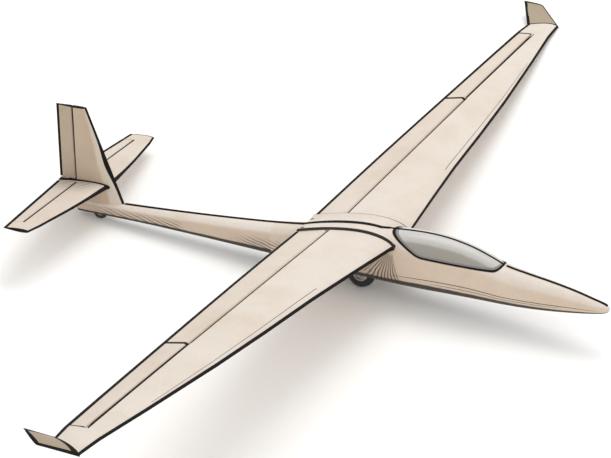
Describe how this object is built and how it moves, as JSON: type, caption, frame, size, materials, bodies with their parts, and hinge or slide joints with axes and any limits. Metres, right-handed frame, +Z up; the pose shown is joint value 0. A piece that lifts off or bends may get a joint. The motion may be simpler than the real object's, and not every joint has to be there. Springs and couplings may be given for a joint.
{
  "type": "single-seat sailplane",
  "caption": "Full-size single-seat sailplane with slim fuselage, low tailplane, flapped wings and canted winglets, parked on its wheels with one wing tip down.",
  "frame": {"origin": "on the ground, under the middle of the parked aircraft's box", "axes": "nose towards -Y, left wing towards +X with its tip on the ground, +Z up"},
  "size_m": [14.8644, 7.4382, 2.1936],
  "materials": {
    "gelcoat": "warm cream gelcoat with faint parchment mottling, satin gloss",
    "canopy_glass": "grey tinted acrylic",
    "tyre": "black aircraft tyre, dusty",
    "rubber": "black rubbing strip",
    "alloy": "cast alloy, matt",
    "steel": "dark phosphated steel",
    "cushion": "padded upholstery cloth",
    "cockpit_liner": "light grey painted laminate",
    "trim": "black crackle paint"
  },
  "bodies": {
    "airframe": {"nose_cone": "gelcoat", "cockpit_shell_left": "gelcoat", "cockpit_shell_right": "gelcoat", "centre_section": "gelcoat", "tail_boom": "gelcoat", "fin": "gelcoat", "tailplane_left": "gelcoat", "tailplane_right": "gelcoat", "wing_left": "gelcoat", "wing_right": "gelcoat", "winglet_left": "gelcoat", "winglet_right": "gelcoat", "tip_skid_left": "rubber", "tip_skid_right": "rubber", "main_gear_leg_left": "steel", "main_gear_leg_right": "steel", "main_axle": "steel", "tail_axle": "steel", "tow_hook": "steel", "seat_pan": "cockpit_liner", "seat_cushion": "cushion", "back_cushion": "cushion", "side_console_left": "trim", "side_console_right": "trim", "rudder_pedal_left": "alloy", "rudder_pedal_right": "alloy", "headrest": "cushion", "panel_pedestal": "trim", "instrument_panel": "trim", "control_stick": "trim"},
    "canopy": {"canopy_frame": "gelcoat", "canopy_glass": "canopy_glass"},
    "rudder": {"rudder": "gelcoat"},
    "elevator": {"elevator_left": "gelcoat", "elevator_right": "gelcoat", "elevator_torque_tube": "steel"},
    "flap_left": {"flap_left": "gelcoat"},
    "flap_right": {"flap_right": "gelcoat"},
    "aileron_left": {"aileron_left": "gelcoat"},
    "aileron_right": {"aileron_right": "gelcoat"},
    "main_wheel": {"main_tyre": "tyre", "main_rim": "alloy"},
    "tail_wheel": {"tail_tyre": "tyre", "tail_rim": "alloy"}
  },
  "joints": [
    {"name": "canopy_hinge", "type": "hinge", "parent": "airframe", "child": "canopy", "pos_m": [-0.05222, -2.39204, 0.7563], "axis": [0.991, 0, -0.1342], "range_deg": [0, 60]},
    {"name": "rudder_hinge", "type": "hinge", "parent": "airframe", "child": "rudder", "pos_m": [-0.09293, 3.40746, 0.45568], "axis": [0.1332, 0.1181, 0.984], "range_deg": [-25, 25]},
    {"name": "elevator_hinge", "type": "hinge", "parent": "airframe", "child": "elevator", "pos_m": [-0.09721, 3.36774, 0.42408], "axis": [0.991, 0, -0.1342], "range_deg": [-20, 25]},
    {"name": "flap_left_hinge", "type": "hinge", "parent": "airframe", "child": "flap_left", "pos_m": [0.22658, -0.12476, 0.65406], "axis": [0.9962, -0.0043, -0.0869], "range_deg": [-20, 8]},
    {"name": "flap_right_hinge", "type": "hinge", "parent": "airframe", "child": "flap_right", "pos_m": [-0.34818, -0.12476, 0.73188], "axis": [0.9834, 0.0043, -0.1812], "range_deg": [-20, 8]},
    {"name": "aileron_left_hinge", "type": "hinge", "parent": "airframe", "child": "aileron_left", "pos_m": [4.13917, -0.14166, 0.31281], "axis": [0.9959, -0.0052, -0.0898], "range_deg": [-20, 20]},
    {"name": "aileron_right_hinge", "type": "hinge", "parent": "airframe", "child": "aileron_right", "pos_m": [-4.21064, -0.14166, 1.44335], "axis": [0.984, 0.0052, -0.1783], "range_deg": [-20, 20]},
    {"name": "main_wheel_spin", "type": "hinge", "parent": "airframe", "child": "main_wheel", "pos_m": [-0.13049, -0.55028, 0.17827], "axis": [0.991, 0, -0.1342], "continuous": true},
    {"name": "tail_wheel_spin", "type": "hinge", "parent": "airframe", "child": "tail_wheel", "pos_m": [-0.14125, 3.02499, 0.09877], "axis": [0.991, 0, -0.1342], "continuous": true}
  ],
  "couplings": [
    {"joint": "flap_right_hinge", "follows": "flap_left_hinge", "ratio": 1},
    {"joint": "aileron_right_hinge", "follows": "aileron_left_hinge", "ratio": -1}
  ]
}
